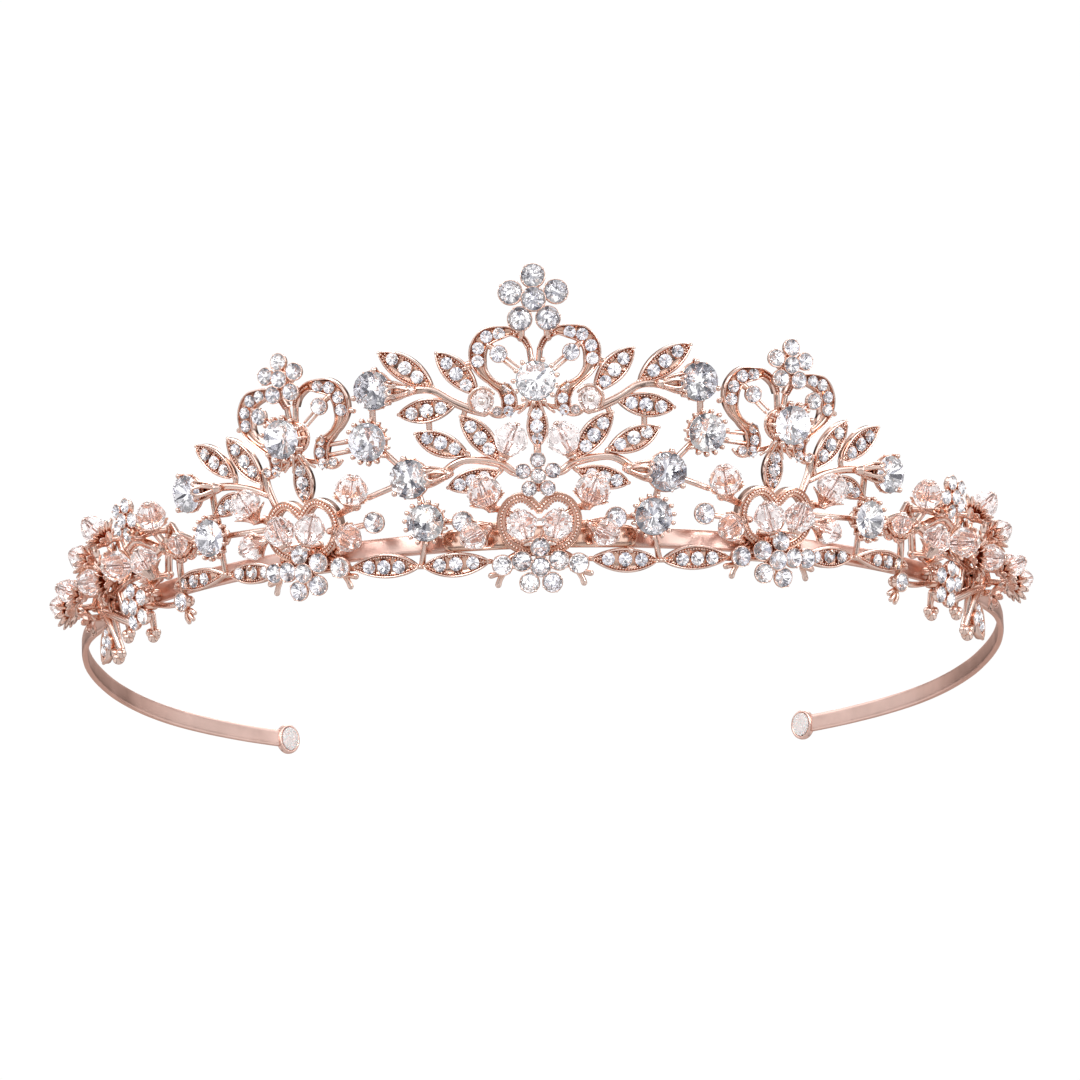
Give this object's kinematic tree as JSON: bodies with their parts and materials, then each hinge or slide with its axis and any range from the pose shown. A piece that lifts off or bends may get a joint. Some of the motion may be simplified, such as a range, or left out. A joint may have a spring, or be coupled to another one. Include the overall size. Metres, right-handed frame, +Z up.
{
  "type": "bridal tiara",
  "caption": "Rose gold bridal tiara: springy open headband with an upright openwork of scrolls, leaves, round stones and crystal beads.",
  "frame": {"origin": "centre of the circle that the openwork follows, at the level of the middle line of the bottom leaf row", "axes": "+Z up along the openwork, -Y towards the front, +X to the right in a front view"},
  "size_m": [0.1538, 0.1609, 0.0689],
  "materials": {
    "rose_gold_casting": "polished rose gold plate",
    "rose_gold_band": "satin rose gold plate",
    "clear_stone": "cut, foil backed",
    "crystal_bead": "cut, clear",
    "soft_pad": "soft matt"
  },
  "bodies": {
    "tiara_frame": {"backing_plate": "rose_gold_band", "bead_pins": "rose_gold_casting", "center_flower_stones": "clear_stone", "center_heart_casting": "rose_gold_casting", "center_pave_stones": "clear_stone", "center_rondelles": "crystal_bead", "center_scroll_casting": "rose_gold_casting", "center_top_flower": "rose_gold_casting", "headband_center": "rose_gold_band", "left_base_leaf_row": "rose_gold_casting", "left_crown_set_stones": "clear_stone", "left_end_cluster_casting": "rose_gold_casting", "left_end_cup_beads": "crystal_bead", "left_flower_stones": "clear_stone", "left_heart_casting": "rose_gold_casting", "left_inner_spray_casting": "rose_gold_casting", "left_outer_spray_casting": "rose_gold_casting", "left_pave_stones": "clear_stone", "left_scroll_casting": "rose_gold_casting", "left_top_flower": "rose_gold_casting", "motif_round_stones": "clear_stone", "right_base_leaf_row": "rose_gold_casting", "right_crown_set_stones": "clear_stone", "right_end_cluster_casting": "rose_gold_casting", "right_end_cup_beads": "crystal_bead", "right_flower_stones": "clear_stone", "right_heart_casting": "rose_gold_casting", "right_inner_spray_casting": "rose_gold_casting", "right_outer_spray_casting": "rose_gold_casting", "right_pave_stones": "clear_stone", "right_scroll_casting": "rose_gold_casting", "right_top_flower": "rose_gold_casting"},
    "left_arm": {"headband_left_arm": "rose_gold_band", "left_tip_pad": "soft_pad"},
    "right_arm": {"headband_right_arm": "rose_gold_band", "right_tip_pad": "soft_pad"},
    "left_center_heart_bead": {"left_center_heart_bead": "crystal_bead"},
    "left_center_leaf_bead": {"left_center_leaf_bead": "crystal_bead"},
    "left_center_lower_bead": {"left_center_lower_bead": "crystal_bead"},
    "left_center_upper_bead": {"left_center_upper_bead": "crystal_bead"},
    "left_end_middle_bead": {"left_end_middle_bead": "crystal_bead"},
    "left_end_upper_bead": {"left_end_upper_bead": "crystal_bead"},
    "left_heart_inner_bead": {"left_heart_inner_bead": "crystal_bead"},
    "left_heart_outer_bead": {"left_heart_outer_bead": "crystal_bead"},
    "left_lower_inner_bead": {"left_lower_inner_bead": "crystal_bead"},
    "left_lower_outer_bead": {"left_lower_outer_bead": "crystal_bead"},
    "left_upper_inner_bead": {"left_upper_inner_bead": "crystal_bead"},
    "left_upper_outer_bead": {"left_upper_outer_bead": "crystal_bead"},
    "right_center_heart_bead": {"right_center_heart_bead": "crystal_bead"},
    "right_center_leaf_bead": {"right_center_leaf_bead": "crystal_bead"},
    "right_center_lower_bead": {"right_center_lower_bead": "crystal_bead"},
    "right_center_upper_bead": {"right_center_upper_bead": "crystal_bead"},
    "right_end_middle_bead": {"right_end_middle_bead": "crystal_bead"},
    "right_end_upper_bead": {"right_end_upper_bead": "crystal_bead"},
    "right_heart_inner_bead": {"right_heart_inner_bead": "crystal_bead"},
    "right_heart_outer_bead": {"right_heart_outer_bead": "crystal_bead"},
    "right_lower_inner_bead": {"right_lower_inner_bead": "crystal_bead"},
    "right_lower_outer_bead": {"right_lower_outer_bead": "crystal_bead"},
    "right_upper_inner_bead": {"right_upper_inner_bead": "crystal_bead"},
    "right_upper_outer_bead": {"right_upper_outer_bead": "crystal_bead"}
  },
  "joints": [
    {"name": "right_arm_flex", "type": "hinge", "parent": "tiara_frame", "child": "right_arm", "pos_m": [0.07365, -0.00446, -0.00839], "axis": [0, 0.1771, 0.9842], "range_deg": [-8, 3], "stiffness_Nm_per_rad": 0.12},
    {"name": "left_arm_flex", "type": "hinge", "parent": "tiara_frame", "child": "left_arm", "pos_m": [-0.07365, -0.00446, -0.00839], "axis": [0, 0.1771, 0.9842], "range_deg": [-3, 8], "stiffness_Nm_per_rad": 0.12},
    {"name": "left_center_heart_bead_spin", "type": "hinge", "parent": "tiara_frame", "child": "left_center_heart_bead", "pos_m": [-0.00255, -0.0791, 0.00543], "axis": [-0.3042, -0.0899, 0.9484], "continuous": true},
    {"name": "left_center_leaf_bead_spin", "type": "hinge", "parent": "tiara_frame", "child": "left_center_leaf_bead", "pos_m": [-0.0038, -0.07951, 0.01795], "axis": [0.411, -0.2137, 0.8862], "continuous": true},
    {"name": "left_center_lower_bead_spin", "type": "hinge", "parent": "tiara_frame", "child": "left_center_lower_bead", "pos_m": [-0.00964, -0.07756, 0.00413], "axis": [-0.8665, -0.1664, -0.4707], "continuous": true},
    {"name": "left_center_upper_bead_spin", "type": "hinge", "parent": "tiara_frame", "child": "left_center_upper_bead", "pos_m": [-0.00796, -0.07872, 0.01046], "axis": [-0.3214, -0.401, 0.8578], "continuous": true},
    {"name": "left_end_middle_bead_spin", "type": "hinge", "parent": "tiara_frame", "child": "left_end_middle_bead", "pos_m": [-0.06001, -0.05081, 0.00297], "axis": [-0.5098, -0.0654, 0.8578], "continuous": true},
    {"name": "left_end_upper_bead_spin", "type": "hinge", "parent": "tiara_frame", "child": "left_end_upper_bead", "pos_m": [-0.05859, -0.05351, 0.00974], "axis": [-0.1303, -0.5266, 0.8401], "continuous": true},
    {"name": "left_heart_inner_bead_spin", "type": "hinge", "parent": "tiara_frame", "child": "left_heart_inner_bead", "pos_m": [-0.0338, -0.07163, 0.00603], "axis": [0.2298, -0.2186, 0.9484], "continuous": true},
    {"name": "left_heart_outer_bead_spin", "type": "hinge", "parent": "tiara_frame", "child": "left_heart_outer_bead", "pos_m": [-0.03834, -0.0693, 0.00593], "axis": [-0.3452, 0.0787, 0.9352], "continuous": true},
    {"name": "left_lower_inner_bead_spin", "type": "hinge", "parent": "tiara_frame", "child": "left_lower_inner_bead", "pos_m": [-0.02805, -0.07299, 0.00453], "axis": [0.7029, -0.566, -0.4308], "continuous": true},
    {"name": "left_lower_outer_bead_spin", "type": "hinge", "parent": "tiara_frame", "child": "left_lower_outer_bead", "pos_m": [-0.04278, -0.06539, 0.00403], "axis": [-0.8872, 0.2461, -0.3902], "continuous": true},
    {"name": "left_upper_inner_bead_spin", "type": "hinge", "parent": "tiara_frame", "child": "left_upper_inner_bead", "pos_m": [-0.02743, -0.07433, 0.01146], "axis": [0.1385, -0.4901, 0.8606], "continuous": true},
    {"name": "left_upper_outer_bead_spin", "type": "hinge", "parent": "tiara_frame", "child": "left_upper_outer_bead", "pos_m": [-0.04347, -0.06607, 0.01017], "axis": [-0.519, -0.1719, 0.8373], "continuous": true},
    {"name": "right_center_heart_bead_spin", "type": "hinge", "parent": "tiara_frame", "child": "right_center_heart_bead", "pos_m": [0.00255, -0.0791, 0.00543], "axis": [0.3042, -0.0899, 0.9484], "continuous": true},
    {"name": "right_center_leaf_bead_spin", "type": "hinge", "parent": "tiara_frame", "child": "right_center_leaf_bead", "pos_m": [0.0038, -0.07951, 0.01795], "axis": [-0.411, -0.2137, 0.8862], "continuous": true},
    {"name": "right_center_lower_bead_spin", "type": "hinge", "parent": "tiara_frame", "child": "right_center_lower_bead", "pos_m": [0.00964, -0.07756, 0.00413], "axis": [0.8665, -0.1664, -0.4707], "continuous": true},
    {"name": "right_center_upper_bead_spin", "type": "hinge", "parent": "tiara_frame", "child": "right_center_upper_bead", "pos_m": [0.00796, -0.07872, 0.01046], "axis": [0.3214, -0.401, 0.8578], "continuous": true},
    {"name": "right_end_middle_bead_spin", "type": "hinge", "parent": "tiara_frame", "child": "right_end_middle_bead", "pos_m": [0.06001, -0.05081, 0.00297], "axis": [0.5098, -0.0654, 0.8578], "continuous": true},
    {"name": "right_end_upper_bead_spin", "type": "hinge", "parent": "tiara_frame", "child": "right_end_upper_bead", "pos_m": [0.05859, -0.05351, 0.00974], "axis": [0.1303, -0.5266, 0.8401], "continuous": true},
    {"name": "right_heart_inner_bead_spin", "type": "hinge", "parent": "tiara_frame", "child": "right_heart_inner_bead", "pos_m": [0.0338, -0.07163, 0.00603], "axis": [-0.2298, -0.2186, 0.9484], "continuous": true},
    {"name": "right_heart_outer_bead_spin", "type": "hinge", "parent": "tiara_frame", "child": "right_heart_outer_bead", "pos_m": [0.03834, -0.0693, 0.00593], "axis": [0.3452, 0.0787, 0.9352], "continuous": true},
    {"name": "right_lower_inner_bead_spin", "type": "hinge", "parent": "tiara_frame", "child": "right_lower_inner_bead", "pos_m": [0.02805, -0.07299, 0.00453], "axis": [-0.7029, -0.566, -0.4308], "continuous": true},
    {"name": "right_lower_outer_bead_spin", "type": "hinge", "parent": "tiara_frame", "child": "right_lower_outer_bead", "pos_m": [0.04278, -0.06539, 0.00403], "axis": [0.8872, 0.2461, -0.3902], "continuous": true},
    {"name": "right_upper_inner_bead_spin", "type": "hinge", "parent": "tiara_frame", "child": "right_upper_inner_bead", "pos_m": [0.02743, -0.07433, 0.01146], "axis": [-0.1385, -0.4901, 0.8606], "continuous": true},
    {"name": "right_upper_outer_bead_spin", "type": "hinge", "parent": "tiara_frame", "child": "right_upper_outer_bead", "pos_m": [0.04347, -0.06607, 0.01017], "axis": [0.519, -0.1719, 0.8373], "continuous": true}
  ]
}
